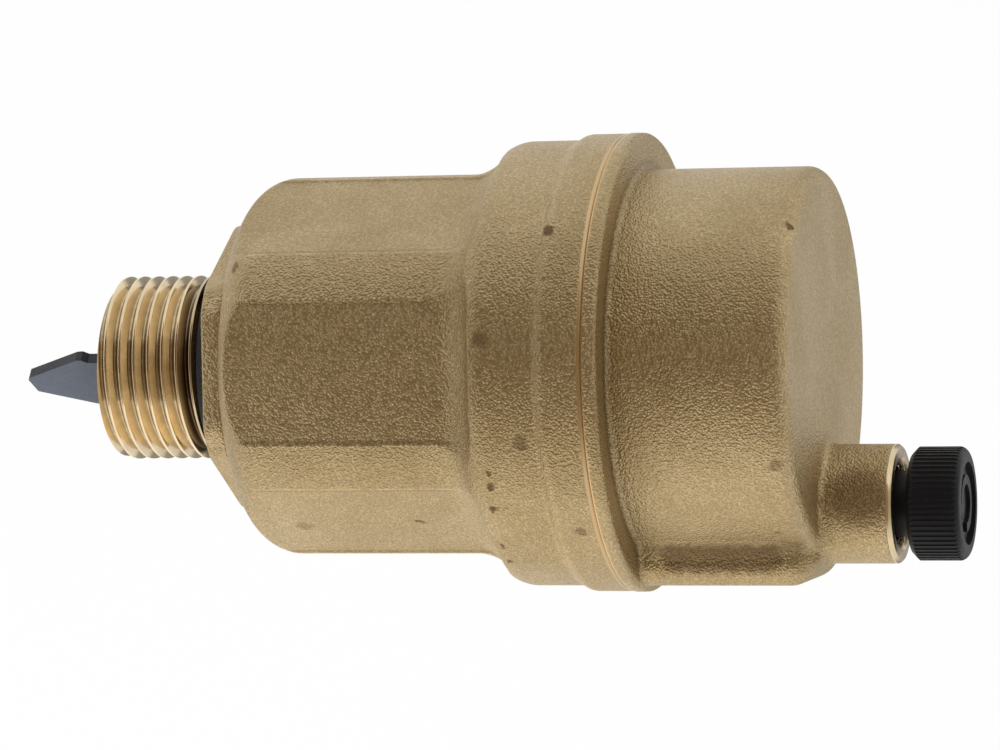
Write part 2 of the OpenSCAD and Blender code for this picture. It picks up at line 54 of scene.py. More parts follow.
class ForgingSettings(bpy.types.PropertyGroup):
    """Sizes and colours of the blasted brass forgings."""

    columns: bpy.props.IntProperty(
        name="Columns", description="Even columns round the forged body", default=288, min=96)
    cell: bpy.props.FloatProperty(
        name="Cover cell", description="Grid step that the cover is made on",
        default=0.0003, min=0.0002, precision=5, unit="LENGTH")
    flat_edge: bpy.props.FloatProperty(
        name="Flat edge", description="Softness of the edges of the spanner flats",
        default=0.0001, precision=5, unit="LENGTH")
    grain: bpy.props.FloatProperty(
        name="Grain", description="Size of the blasted pebble grain",
        default=0.00021, precision=5, unit="LENGTH")
    relief: bpy.props.FloatProperty(
        name="Relief", description="Depth of the blasted pebble grain",
        default=0.00008, precision=6, unit="LENGTH")
    light_tone: bpy.props.FloatVectorProperty(
        name="Light tone", description="Lighter colour of the blasted brass",
        subtype="COLOR", default=(0.60, 0.47, 0.275), min=0, max=1)
    deep_tone: bpy.props.FloatVectorProperty(
        name="Deep tone", description="Deeper colour of the blasted brass",
        subtype="COLOR", default=(0.47, 0.35, 0.18), min=0, max=1)
    rubbed_tone: bpy.props.FloatVectorProperty(
        name="Rubbed tone", description="Brighter brass where edges are rubbed",
        subtype="COLOR", default=(0.70, 0.55, 0.33), min=0, max=1)
    # Also the brown of painted shade: spots on the cover and the turns by the gasket.
    stain_and_shade_tone: bpy.props.FloatVectorProperty(
        name="Stain tone", description="Brown of the small stains and pits",
        subtype="COLOR", default=(0.15, 0.085, 0.04), min=0, max=1)


class TurningSettings(bpy.types.PropertyGroup):
    """Sizes and colours of the turned brass."""

    thread_radius: bpy.props.FloatProperty(
        name="Thread radius", description="Radius over the ridges of the inlet thread",
        default=0.0083, precision=5, unit="LENGTH")
    thread_pitch: bpy.props.FloatProperty(
        name="Thread pitch", description="Pitch of the inlet thread",
        default=0.001337, precision=6, unit="LENGTH")
    thread_depth: bpy.props.FloatProperty(
        name="Thread depth", description="Depth of the inlet thread",
        default=0.000856, precision=6, unit="LENGTH")
    turned_tone: bpy.props.FloatVectorProperty(
        name="Turned tone", description="Colour of the bright turned brass",
        subtype="COLOR", default=(0.80, 0.64, 0.41), min=0, max=1)


class MouldingSettings(bpy.types.PropertyGroup):
    """Colours of the moulded, rubber and steel pieces."""

    knob_tone: bpy.props.FloatVectorProperty(
        name="Knob tone", description="Black of the vent knob and its stem",
        subtype="COLOR", default=(0.005, 0.005, 0.006), min=0, max=1)
    fin_tone: bpy.props.FloatVectorProperty(
        name="Fin tone", description="Grey of the drip fin and its ring",
        subtype="COLOR", default=(0.125, 0.149, 0.2), min=0, max=1)
    gasket_tone: bpy.props.FloatVectorProperty(
        name="Gasket tone", description="Dark blue black of the inlet gasket",
        subtype="COLOR", default=(0.022, 0.025, 0.034), min=0, max=1)
    float_tone: bpy.props.FloatVectorProperty(
        name="Float tone", description="Natural plastic of the float",
        subtype="COLOR", default=(0.74, 0.72, 0.64), min=0, max=1)
    steel_tone: bpy.props.FloatVectorProperty(
        name="Steel tone", description="Colour of the lever works",
        subtype="COLOR", default=(0.60, 0.60, 0.58), min=0, max=1)


class StageSettings(bpy.types.PropertyGroup):
    """Floor, light and camera."""

    floor_height: bpy.props.FloatProperty(
        name="Floor height", description="Height of the floor under the valve",
        default=-0.036, precision=4, unit="LENGTH")
    sky: bpy.props.FloatProperty(
        name="Sky", description="Strength of the even light on matt surfaces", default=0.25)
    key_power: bpy.props.FloatProperty(
        name="Key power", description="Power of the soft lamp on the boss side",
        default=2.2, unit="POWER")
    fill_power: bpy.props.FloatProperty(
        name="Fill power", description="Power of the soft lamp above",
        default=2.2, unit="POWER")
    card_tone: bpy.props.FloatVectorProperty(
        name="Card tone", description="Colour of the dark card that the metal mirrors",
        subtype="COLOR", default=(0.295, 0.23, 0.16), min=0, max=1)
    back_tone: bpy.props.FloatVectorProperty(
        name="Back tone", description="Colour of the low card behind, which the top face mirrors",
        subtype="COLOR", default=(0.34, 0.35, 0.36), min=0, max=1)
    high_tone: bpy.props.FloatVectorProperty(
        name="High tone", description="Colour of the pale card above the one behind",
        subtype="COLOR", default=(0.97, 0.98, 1.0), min=0, max=1)
    top_tone: bpy.props.FloatVectorProperty(
        name="Top tone", description="Colour of the card above, which the rounded edges mirror",
        subtype="COLOR", default=(0.49, 0.45, 0.38), min=0, max=1)
    lens: bpy.props.FloatProperty(
        name="Lens", description="Focal length on a 36 mm wide frame", default=185.951)


def settings():
    scene = bpy.context.scene
    return scene.valve_forging, scene.valve_turning, scene.valve_moulding, scene.valve_stage


# Nodes and node groups

def put(tree, kind, values=None, **options):
    """Adds a node, sets its options, and sets or links its inputs."""
    node = tree.nodes.new(kind)
    for key, value in options.items():
        setattr(node, key, value)
    for key, value in (values or {}).items():
        if isinstance(value, bpy.types.NodeSocket):
            tree.links.new(value, node.inputs[key])
        else:
            node.inputs[key].default_value = value
    return node


def maths(tree, operation, a, b=0.0, clamp=False):
    node = put(tree, "ShaderNodeMath", {0: a, 1: b}, operation=operation, use_clamp=clamp)
    return node.outputs[0]


def ramp(tree, value, low, high, out_low=0.0, out_high=1.0):
    node = put(tree, "ShaderNodeMapRange", {
        "Value": value, "From Min": low, "From Max": high, "To Min": out_low, "To Max": out_high},
        interpolation_type="SMOOTHSTEP")
    return node.outputs["Result"]


def blend(tree, factor, a, b):
    """Mixes two colours."""
    node = tree.nodes.new("ShaderNodeMix")
    node.data_type = "RGBA"
    for socket, value in zip((node.inputs[0], node.inputs[6], node.inputs[7]), (factor, a, b)):
        if isinstance(value, bpy.types.NodeSocket):
            tree.links.new(value, socket)
        elif socket.type == "RGBA":
            socket.default_value = (*value[:3], 1)
        else:
            socket.default_value = value
    return node.outputs[2]


def place(tree):
    return put(tree, "ShaderNodeTexCoord").outputs["Object"]


def noise(tree, vector, scale, detail=2.0, rough=0.5, warp=0.0):
    node = put(tree, "ShaderNodeTexNoise", {
        "Vector": vector, "Scale": scale, "Detail": detail, "Roughness": rough, "Distortion": warp})
    return node.outputs["Fac"]


def new_group(name, inputs, outputs):
    tree = bpy.data.node_groups.new(name, "ShaderNodeTree")
    for socket, default in inputs.items():
        item = tree.interface.new_socket(socket, in_out="INPUT", socket_type="NodeSocketFloat")
        item.default_value = default
    for socket in outputs:
        tree.interface.new_socket(socket, in_out="OUTPUT", socket_type="NodeSocketFloat")
    return tree, tree.nodes.new("NodeGroupInput").outputs, tree.nodes.new("NodeGroupOutput").inputs


def pebble_grain():
    """Blasted skin: fine pebbles over a slow waviness, and a mask of the hollows between them for painted
    shade.
    """
    tree, given, out = new_group("pebble_grain", {"Fineness": 3000.0, "Waviness": 0.5}, ["Height", "Hollow"])
    spot = place(tree)
    gaps = put(tree, "ShaderNodeTexVoronoi", {"Vector": spot, "Scale": given["Fineness"], "Smoothness": 0.3},
               feature="SMOOTH_F1").outputs["Distance"]
    rough = noise(tree, spot, maths(tree, "MULTIPLY", given["Fineness"], 0.6), 2.0, 0.6)
    pebbles = maths(tree, "SUBTRACT", rough, gaps)
    slow = maths(tree, "MULTIPLY", noise(tree, spot, 240.0, 1.0), given["Waviness"])
    tree.links.new(maths(tree, "ADD", pebbles, slow), out["Height"])
    tree.links.new(ramp(tree, pebbles, 0.18, -0.06), out["Hollow"])
    return tree


def tone_blotches():
    """Slow and fine changes of tone."""
    tree, given, out = new_group("tone_blotches", {"Spread": 90.0, "Fineness": 4200.0}, ["Tone"])
    spot = place(tree)
    slow = ramp(tree, noise(tree, spot, given["Spread"], 4.0, 0.6, 0.4), 0.3, 0.7)
    fine = ramp(tree, noise(tree, spot, given["Fineness"], 2.0), 0.28, 0.72)
    mixed = maths(tree, "ADD", maths(tree, "MULTIPLY", slow, 0.55), maths(tree, "MULTIPLY", fine, 0.45))
    tree.links.new(mixed, out["Tone"])
    return tree


def pit_specks():
    """Sparse small pits of a forging."""
    tree, given, out = new_group("pit_specks", {"Fineness": 420.0, "Share": 0.12}, ["Mask"])
    spot = place(tree)
    cells = put(tree, "ShaderNodeTexVoronoi", {"Vector": spot, "Scale": given["Fineness"]})
    chosen = maths(tree, "LESS_THAN", put(tree, "ShaderNodeSeparateColor", {
        "Color": cells.outputs["Color"]}).outputs[0], given["Share"])
    dot = ramp(tree, cells.outputs["Distance"], 0.16, 0.06)
    tree.links.new(maths(tree, "MULTIPLY", chosen, dot), out["Mask"])
    return tree


def edge_rub():
    """Broken mask along the edges that the mesh code marks."""
    tree, given, out = new_group("edge_rub", {"Fineness": 900.0}, ["Mask"])
    edge = put(tree, "ShaderNodeAttribute", attribute_name="edge").outputs["Fac"]
    broken = ramp(tree, noise(tree, place(tree), given["Fineness"], 3.0, 0.6), 0.3, 0.65)
    tree.links.new(maths(tree, "MULTIPLY", edge, broken, True), out["Mask"])
    return tree


def painted_corner_shade():
    """Painted shade in the sunk corners that the mesh code marks."""
    tree, given, out = new_group("painted_corner_shade", {"Fineness": 1400.0}, ["Mask"])
    corner_shade = put(tree, "ShaderNodeAttribute", attribute_name="corner_shade").outputs["Fac"]
    broken = ramp(tree, noise(tree, place(tree), given["Fineness"], 2.0), 0.2, 0.6, 0.55, 1.0)
    tree.links.new(maths(tree, "MULTIPLY", corner_shade, broken, True), out["Mask"])
    return tree


def turning_marks():
    """Fine rings left by the tool, along the axis of the part."""
    tree, given, out = new_group("turning_marks", {"Fineness": 9000.0}, ["Height", "Tone"])
    stretch = put(tree, "ShaderNodeVectorMath", {0: place(tree), 1: (0.02, 0.02, 1.0)}, operation="MULTIPLY")
    lines = noise(tree, stretch.outputs[0], given["Fineness"], 2.0)
    tree.links.new(lines, out["Height"])
    tree.links.new(ramp(tree, noise(tree, place(tree), 500.0, 3.0), 0.3, 0.7), out["Tone"])
    return tree


def effect(tree, group, **values):
    node = tree.nodes.new("ShaderNodeGroup")
    node.node_tree = bpy.data.node_groups[group]
    for key, value in values.items():
        node.inputs[key].default_value = value
    return node.outputs


GROUPS = {"pebble_grain": pebble_grain, "tone_blotches": tone_blotches, "pit_specks": pit_specks,
          "edge_rub": edge_rub, "painted_corner_shade": painted_corner_shade, "turning_marks": turning_marks}


def blank(name, **values):
    """New material with its Principled shader; plain values go on the shader's own sockets."""
    for group, make in GROUPS.items():
        if group not in bpy.data.node_groups:
            make()
    material = bpy.data.materials.new(name)
    material.use_nodes = True
    shader = material.node_tree.nodes["Principled BSDF"]
    for key, value in values.items():
        shader.inputs[key.replace("_", " ")].default_value = value
    return material, material.node_tree, shader.inputs


def bump(tree, height, distance, strength=1.0, below=None):
    node = put(tree, "ShaderNodeBump", {"Height": height, "Distance": distance, "Strength": strength})
    if below is not None:
        tree.links.new(below, node.inputs["Normal"])
    return node.outputs["Normal"]


def stain_and_shade_mask(tree, stain_and_shade_spots):
    """Mask of single spots, some stain and some painted shade, each a centre and a radius in millimetres, and
    a strength.
    """
    spot = place(tree)
    ragged = put(tree, "ShaderNodeTexNoise", {
        "Vector": spot, "Scale": 1500.0, "Detail": 2.0}).outputs["Color"]
    push = put(tree, "ShaderNodeVectorMath", {0: ragged, "Scale": 0.0011}, operation="SCALE").outputs[0]
    moved = put(tree, "ShaderNodeVectorMath", {0: spot, 1: push}, operation="ADD").outputs[0]
    total = None
    for x, y, z, radius, strength in stain_and_shade_spots:
        centre = ((x + 0.55) * MM, (y + 0.55) * MM, (z + 0.55) * MM)
        away = put(tree, "ShaderNodeVectorMath", {0: moved, 1: centre}, operation="DISTANCE").outputs["Value"]
        mask = ramp(tree, away, radius * MM, 0.45 * radius * MM, 0.0, strength)
        total = mask if total is None else maths(tree, "MAXIMUM", total, mask)
    return total


def forged_brass(name, band, stain_and_shade_spots):
    """Blasted brass, with a bright turned band between two heights."""
    forging, turning, _, _ = settings()
    material, tree, sockets = blank(name, Metallic=1.0)
    tone = effect(tree, "tone_blotches")["Tone"]
    colour = blend(tree, tone, forging.deep_tone, forging.light_tone)
    grain = effect(tree, "pebble_grain", Fineness=1.0 / forging.grain)
    # Painted shade: the hollows between the pebbles are darkened in place of their self-shadowing.
    hollow = maths(tree, "MULTIPLY", grain["Hollow"], 0.35)
    colour = blend(tree, hollow, colour, [0.42 * c for c in forging.deep_tone])
    rub = maths(tree, "MULTIPLY", effect(tree, "edge_rub")["Mask"], 0.5)
    colour = blend(tree, rub, colour, forging.rubbed_tone)
    # Painted shade in the sunk corners that the mesh code marks.
    sunk = maths(tree, "MULTIPLY", effect(tree, "painted_corner_shade")["Mask"], 0.75)
    colour = blend(tree, sunk, colour, [0.35 * c for c in forging.deep_tone])
    pits = maths(tree, "MULTIPLY", effect(tree, "pit_specks")["Mask"], 0.45)
    # Stains and pits, and on the cover spots of painted shade, take the stain tone.
    marks = maths(tree, "MAXIMUM", stain_and_shade_mask(tree, stain_and_shade_spots), pits)
    colour = blend(tree, marks, colour, forging.stain_and_shade_tone)
    height = put(tree, "ShaderNodeSeparateXYZ", {"Vector": place(tree)}).outputs["Z"]
    soft = 0.00006
    low = ramp(tree, height, band[0] * MM - soft, band[0] * MM + soft)
    high = ramp(tree, height, band[1] * MM + soft, band[1] * MM - soft)
    turned = maths(tree, "MULTIPLY", low, high)
    band_tone = [c * share for c, share in zip(turning.turned_tone, (0.75, 0.67, 0.57))]
    colour = blend(tree, turned, colour, band_tone)
    tree.links.new(colour, sockets["Base Color"])
    rough = maths(tree, "ADD", ramp(tree, tone, 0.0, 1.0, 0.50, 0.42), maths(tree, "MULTIPLY", marks, 0.2))
    rough = maths(tree, "SUBTRACT", rough, maths(tree, "MULTIPLY", rub, 0.10))
    rough = maths(tree, "SUBTRACT", rough, maths(tree, "MULTIPLY", turned, 0.1), True)
    tree.links.new(rough, sockets["Roughness"])
    skin = maths(tree, "MULTIPLY", grain["Height"], maths(tree, "SUBTRACT", 1.0, turned))
    skin = maths(tree, "SUBTRACT", skin, maths(tree, "MULTIPLY", marks, 0.8))
    tree.links.new(bump(tree, skin, forging.relief), sockets["Normal"])
    return material


def turned_brass(name):
    """Turned brass with tool rings."""
    turning = settings()[1]
    material, tree, sockets = blank(name, Metallic=1.0)
    marks = effect(tree, "turning_marks")
    dull = [0.80 * c for c in turning.turned_tone]
    tree.links.new(blend(tree, marks["Tone"], dull, turning.turned_tone), sockets["Base Color"])
    tree.links.new(ramp(tree, marks["Tone"], 0.0, 1.0, 0.30, 0.20), sockets["Roughness"])
    tree.links.new(bump(tree, marks["Height"], 0.000006, 0.6), sockets["Normal"])
    return material


def thread_brass(name, dark_above):
    """Bright cut thread, with painted shade and dirt in its roots; above a height in millimetres it is
    darkened as painted shade of the recess by the gasket.
    """
    forging, turning, _, _ = settings()
    material, tree, sockets = blank(name, Metallic=1.0)
    marks = effect(tree, "turning_marks")
    dull = [0.90 * c for c in turning.turned_tone]
    colour = blend(tree, marks["Tone"], dull, turning.turned_tone)
    # Painted shade and dirt in the roots of the thread.
    sunk = maths(tree, "MULTIPLY", effect(tree, "painted_corner_shade")["Mask"], 0.6)
    colour = blend(tree, sunk, colour, [0.3 * c for c in turning.turned_tone])
    height = put(tree, "ShaderNodeSeparateXYZ", {"Vector": place(tree)}).outputs["Z"]
    # Painted shade of the recess by the gasket, lighter on the crests.
    recess_shade = ramp(tree, height, (dark_above - 0.25) * MM, (dark_above + 0.15) * MM, 0.0, 0.9)
    crest = put(tree, "ShaderNodeAttribute", attribute_name="edge").outputs["Fac"]
    recess_shade = maths(tree, "MULTIPLY", recess_shade, ramp(tree, crest, 0.0, 1.0, 1.0, 0.35))
    colour = blend(tree, recess_shade, colour, [0.45 * c for c in forging.stain_and_shade_tone])
    tree.links.new(colour, sockets["Base Color"])
    tree.links.new(ramp(tree, marks["Tone"], 0.0, 1.0, 0.19, 0.13), sockets["Roughness"])
    tree.links.new(bump(tree, marks["Height"], 0.000004, 0.5), sockets["Normal"])
    return material


def moulded(name, tone, lift, rough, fineness=2400.0, depth=0.000012, shine=0.5, plate_axis=None):
    """Fine matt skin of moulded plastic or rubber; the rim of a plate can be darkened with painted shade."""
    material, tree, sockets = blank(name, Specular_IOR_Level=shine)
    change = effect(tree, "tone_blotches", Spread=220.0, Fineness=fineness)["Tone"]
    lighter = [min(1.0, c * lift + 0.002) for c in tone]
    colour = blend(tree, change, tone, lighter)
    # Painted shade on the faces across the plate, its rim.
    if plate_axis is not None:
        facing = put(tree, "ShaderNodeNewGeometry").outputs["True Normal"]
        across = put(tree, "ShaderNodeVectorMath", {0: facing, 1: plate_axis}, operation="DOT_PRODUCT")
        rim = ramp(tree, maths(tree, "ABSOLUTE", across.outputs["Value"]), 0.8, 0.5, 0.0, 0.95)
        colour = blend(tree, rim, colour, [0.06 * c for c in tone])
    tree.links.new(colour, sockets["Base Color"])
    tree.links.new(ramp(tree, change, 0.0, 1.0, rough + 0.06, rough - 0.05), sockets["Roughness"])
    skin = effect(tree, "pebble_grain", Fineness=fineness * 2, Waviness=0.3)["Height"]
    tree.links.new(bump(tree, skin, depth, 0.7), sockets["Normal"])
    return material


def plain_steel(name, tone):
    material, tree, sockets = blank(name, Metallic=1.0)
    marks = effect(tree, "turning_marks", Fineness=6000.0)
    tree.links.new(blend(tree, marks["Tone"], [0.8 * c for c in tone], tone), sockets["Base Color"])
    tree.links.new(ramp(tree, marks["Tone"], 0.0, 1.0, 0.38, 0.26), sockets["Roughness"])
    tree.links.new(bump(tree, marks["Height"], 0.000005, 0.5), sockets["Normal"])
    return material


# Meshes

def new_piece(name, points, faces, material, slot, *nodes):
    """Mesh piece in metres that rides on the housing and stands for CAD nodes."""
    mesh = bpy.data.meshes.new(name)
    mesh.from_pydata([tuple(p) for p in points], [], [tuple(f) for f in faces])
    mesh.validate()
    mesh.materials.append(material)
    piece = bpy.data.objects.new(name, mesh)
    bpy.context.collection.objects.link(piece)
    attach(piece, "housing")
    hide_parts(*nodes)
    return piece


def weld(piece, distance=1e-7, sharp=None):
    """Joins doubled points and shades smooth, apart from edges sharper than an angle in degrees."""
    work = bmesh.new()
    work.from_mesh(piece.data)
    bmesh.ops.remove_doubles(work, verts=work.verts, dist=distance)
    bmesh.ops.dissolve_degenerate(work, edges=work.edges, dist=distance)
    work.to_mesh(piece.data)
    work.free()
    piece.data.shade_smooth()
    if sharp is not None:
        piece.data.set_sharp_from_angle(angle=math.radians(sharp))


def rings_to_faces(rows, columns):
    """Quads between rows of points that close round the axis."""
    row = np.arange(rows - 1)[:, None] * columns
    here = np.arange(columns)[None, :]
    there = (here + 1) % columns
    quads = np.stack([row + here, row + there, row + columns + there, row + columns + here], axis=-1)
    return quads.reshape(-1, 4)


def mark(piece, name, values):
    """Stores one value per point for the shaders."""
    layer = piece.data.attributes.new(name, "FLOAT", "POINT")
    layer.data.foreach_set("value", np.asarray(values, dtype=np.float32))


def arc(centre, radius, start, end, count):
    """Points on an arc as radius and height, angles in degrees."""
    turn = np.radians(np.linspace(start, end, count))
    return [(centre[0] + radius * math.cos(a), centre[1] + radius * math.sin(a)) for a in turn]


def fill_steps(points, longest):
    """Adds points so that no step along the profile is longer than that."""
    out = [points[0]]
    for a, b in zip(points, points[1:]):
        count = max(1, math.ceil(math.dist(a, b) / longest))
        for i in range(1, count + 1):
            out.append((a[0] + (b[0] - a[0]) * i / count, a[1] + (b[1] - a[1]) * i / count))
    return out


def soft_min(a, b, width):
    h = np.clip(0.5 + 0.5 * (b - a) / width, 0, 1)
    return b + (a - b) * h - width * h * (1 - h)


# Sizes of the body in millimetres
FLAT_TURN = math.radians(30)
FLAT_APOTHEM = 15.70
FLAT_CROWN = 0.2
FLAT_HALF = 6.3
FLAT_STRUCK = 0.13
FLAT_FOOT_Z = 22.9
FLAT_FOOT_R = 3.6
NO_FLAT = 60.0
BARREL_R = 16.93
COLLAR_APOTHEM = 11.72
COLLAR_CORNER_R = 12.75
BORE_R = 6.4
JOINT_Z = 36.85


def flat_angle(theta):
    """Angle from the middle of the nearest spanner flat."""
    step = math.radians(60)
    return (theta - FLAT_TURN + step / 2) % step - step / 2


def body_profile():
    """Outline of the barrel, flare and lip as radius and height in millimetres."""
    line = [(12.4, 1.9)] + arc((13.43, 5.82), 3.5, -74.4, 0, 14)
    line += arc((20.93, 22.3), 4.0, 180, 126.47, 14)
    line += arc((16.77, 27.93), 3.0, -53.53, 0, 14)[1:]
    line += [(19.77, 32.2), (19.80, 32.42), (19.89, 32.62), (20.12, 32.92), (20.22, 33.1), (20.27, 33.35)]
    line += [(20.27, 36.55), (20.2, 36.72), (20.05, 36.82), (19.9, 36.85)]
    return line


def body_angles(columns):
    """Even columns, with close ones at the edges of the spanner flats."""
    half = math.acos(FLAT_APOTHEM / BARREL_R)
    close = np.arange(-0.66, 0.67, 0.06) / BARREL_R
    angles = [np.linspace(0, TURN, columns, endpoint=False)]
    for i in range(6):
        for side in (-1, 1):
            angles.append(FLAT_TURN + math.radians(60) * i + side * half + close)
    return np.unique(np.round(np.concatenate(angles) % TURN, 5))


def body_rows(theta, edge_width):
    """Radius and height of each row round the body, how much of an edge it is, and how much painted shade it
    gets as a sunk corner.
    """
    off = flat_angle(theta)
    half = math.acos(FLAT_APOTHEM / BARREL_R)
    inward = (half - np.abs(off)) * BARREL_R
    hexagon = soft_min(COLLAR_APOTHEM / np.cos(off), np.full_like(theta, COLLAR_CORNER_R), 0.25)
    corner = np.clip((hexagon - 12.35) / 0.4, 0, 1)
    rows, edges, corner_shades = [], [], []

    def ring(radius, height, edge=0.0, corner_shade=0.0):
        rows.append((np.broadcast_to(radius, theta.shape), height))
        edges.append(np.broadcast_to(edge, theta.shape))
        corner_shades.append(np.broadcast_to(corner_shade, theta.shape))

    ring(7.444, 0.0)
    ring(10.0, 0.0)
    for drop, height in ((0.22, 0.0), (0.10, 0.03), (0.02, 0.12), (0.0, 0.25), (0.0, 0.9), (0.0, 1.6),
                         (0.04, 1.76), (0.12, 1.86), (0.24, 1.9)):
        ring(hexagon - drop, height, 0.3 + 0.4 * corner)
    for radius, height in fill_steps(body_profile(), 0.3):
        rise = height - FLAT_FOOT_Z
        if rise <= 0:
            apothem = FLAT_APOTHEM
        elif rise < FLAT_FOOT_R - 0.01:
            apothem = FLAT_APOTHEM + FLAT_FOOT_R - math.sqrt(FLAT_FOOT_R ** 2 - rise ** 2)
        else:
            apothem = NO_FLAT
        # A forged flat stands a little proud in the middle
        crown = FLAT_CROWN * np.clip(1 - (apothem * np.tan(off) / FLAT_HALF) ** 2, 0, 1)
        flat = (apothem + crown) / np.cos(off)
        # The flats are struck a little deeper than the ribs between them
        struck = min(1.0, max(0.0, (height - 4.2) / 1.0)) * min(1.0, max(0.0, (24.8 - height) / 1.6))
        sunk = struck * FLAT_STRUCK * np.clip(inward / 0.25, 0, 1)
        # Painted shade along the sunk corner where a struck flat meets the rib beside it.
        corner_shade = 0.6 * struck * np.clip(1 - np.abs(inward - 0.2) / 0.22, 0, 1)
        on_edge = struck * np.clip(1 - np.abs(inward + 0.12) / 0.2, 0, 1)
        if 36.3 < height or 32.2 < height < 33.4:
            on_edge = 0.4
        ring(soft_min(np.full_like(theta, radius), flat, edge_width) - sunk, height, on_edge, corner_shade)
    inside = ((17.0, JOINT_Z), (15.85, JOINT_Z), (15.55, 36.55), (15.55, 30.05), (13.5, 29.05),
              (13.5, 18.0), (13.5, 6.2), (12.9, 5.6), (BORE_R, 4.2), (BORE_R, 0.0))
    for radius, height in inside:
        ring(radius, height)
    return rows, edges, corner_shades


# Heights of the inlet thread in millimetres: its ends, and a crest that the turns are counted from
THREAD_LOW = -11.2
THREAD_HIGH = -1.3
THREAD_CREST = -8.903
THREAD_SLANT = 27.5


def thread_outline(radius, pitch, depth):
    """One turn of the thread's outline as height and radius, with a rounded crest and root."""
    slant = math.radians(THREAD_SLANT)
    tip, foot = 0.08, 0.18
    flank = (depth - (tip + foot) * (1 - math.sin(slant))) * math.tan(slant)
    flat = pitch / 2 - (tip + foot) * math.cos(slant) - flank
    side = arc((flat, radius - tip), tip, 90, THREAD_SLANT, 5)
    side += arc((pitch / 2, radius - depth + foot), foot, 180 + THREAD_SLANT, 270, 5)
    return side + [(pitch - z, r) for z, r in reversed(side[:-1])]


def thread_rows(columns, radius, pitch, depth):
    """Skewed rows that follow the turns of the inlet thread, as radius and height grids."""
    theta = np.linspace(0, TURN, columns + 1)
    root = radius - depth
    shape = thread_outline(radius, pitch, depth)
    helix = THREAD_CREST - pitch * 0.75 + pitch * theta / TURN
    along, reach = np.array(shape + [(shape[0][0] + pitch, shape[0][1])]).T
    heights, radii = [], []
    for turn in range(-3, 8):
        for start in along[:-1]:
            z = np.clip(helix + pitch * turn + start, THREAD_LOW, THREAD_HIGH)
            r = np.interp((z - helix - along[0]) % pitch + along[0], along, reach)
            r = root + (r - root) * np.clip((THREAD_HIGH - 0.05 - z) / 0.35, 0, 1)
            heights.append(z)
            radii.append(np.minimum(r, root + 0.5 + z - THREAD_LOW))
    return theta, np.array(radii), np.array(heights)


def round_box(across, half, height, top, corner):
    """Distance to a post of that half width and top height with a rounded top edge."""
    qx = np.abs(across) - (half - corner)
    qz = height - (top - corner)
    outside = np.hypot(np.maximum(qx, 0), np.maximum(qz, 0))
    return outside + np.minimum(np.maximum(qx, qz), 0) - corner


def round_union(a, b, radius):
    """Joins two distances with a hollow of that radius."""
    inner = np.hypot(np.maximum(radius - a, 0), np.maximum(radius - b, 0))
    return np.maximum(radius, np.minimum(a, b)) - inner


def slab(value, low, high):
    return np.maximum(low - value, value - high)


# Sizes of the cover in millimetres
CAP_R = 17.06
CAP_TOP = 53.95
BOSS_HALF = 6.3
BOSS_FAR = 19.5
BOSS_CORNER = 2.2
BOSS_TOP = 53.85
NOZZLE_X = 12.63
NOZZLE_R = 5.25
NOZZLE_TOP = 60.2
NOZZLE_BORE_R = 3.6
RING_R = 20.325
RING_TOP = 38.15
CHAMBER_R = 13.3
CHAMBER_TOP = 50.2
SEAT_R = 2.22
SCREW_SPOT = (6.0, 4.6)
SCREW_R = 1.02


def cap_and_boss(p):
    """Distances in millimetres from points to the round cap and to the boss with its nozzle."""
    x, y, z = p[..., 0], p[..., 1], p[..., 2]
    cap = round_box(np.hypot(x, y), CAP_R, z, CAP_TOP, 1.4)
    # The boss is square in plan with round corners
    wide = np.abs(y) - (BOSS_HALF - BOSS_CORNER)
    far = x - (BOSS_FAR - BOSS_CORNER)
    plan = np.hypot(np.maximum(wide, 0), np.maximum(far, 0)) + np.minimum(np.maximum(wide, far), 0)
    plan = np.maximum(plan - BOSS_CORNER, 2.0 - x)
    # The plan's distance is set out from a far centre, so that the top edge can be rounded like a post's
    centre = 50.0
    boss = round_box(plan + centre, centre, z, BOSS_TOP, 2.6)
    nozzle = round_box(np.hypot(x - NOZZLE_X, y), NOZZLE_R, z, NOZZLE_TOP, 0.3)
    return cap, round_union(boss, nozzle, 0.9)


def cover_distance(p):
    """Distance in millimetres from points to the cover forging, less than 0 inside."""
    x, y, z = p[..., 0], p[..., 1], p[..., 2]
    r = np.hypot(x, y)
    n = np.hypot(x - NOZZLE_X, y)
    cap, boss = cap_and_boss(p)
    d = round_union(cap, boss, 0.6 + 0.9 * np.clip((53.4 - z) / 4.0, 0, 1))
    # The joint ring is rounded at its back; its foot goes on below the joint and is cut off there
    ring = np.where(z > JOINT_Z, round_box(r, RING_R, z, RING_TOP, 0.42), r - RING_R)
    d = round_union(d, ring, 0.5)
    d = np.maximum(d, 34.0 - z)
    # Float chamber, pocket under the boss, seat hole and nozzle bore
    d = np.maximum(d, -np.maximum(r - CHAMBER_R, z - CHAMBER_TOP))
    d = np.maximum(d, -np.maximum(n - 5.0, slab(z, 41.35, CHAMBER_TOP)))
    d = np.maximum(d, -np.maximum(n - SEAT_R, slab(z, CHAMBER_TOP - 1.0, 54.0)))
    d = np.maximum(d, -np.maximum(n - NOZZLE_BORE_R, 53.0 - z))
    for side in (-1, 1):
        screw = np.hypot(x - SCREW_SPOT[0], y - side * SCREW_SPOT[1]) - SCREW_R
        d = np.maximum(d, -np.maximum(screw, slab(z, CHAMBER_TOP - 1.0, 52.6)))
    return d


def slope(distance, p, step=0.02):
    """Direction in which a distance grows."""
    out = np.empty_like(p)
    for axis in range(3):
        shift = np.zeros(3)
        shift[axis] = step
        out[:, axis] = distance(p + shift) - distance(p - shift)
    return out / np.maximum(np.linalg.norm(out, axis=1, keepdims=True), 1e-9)


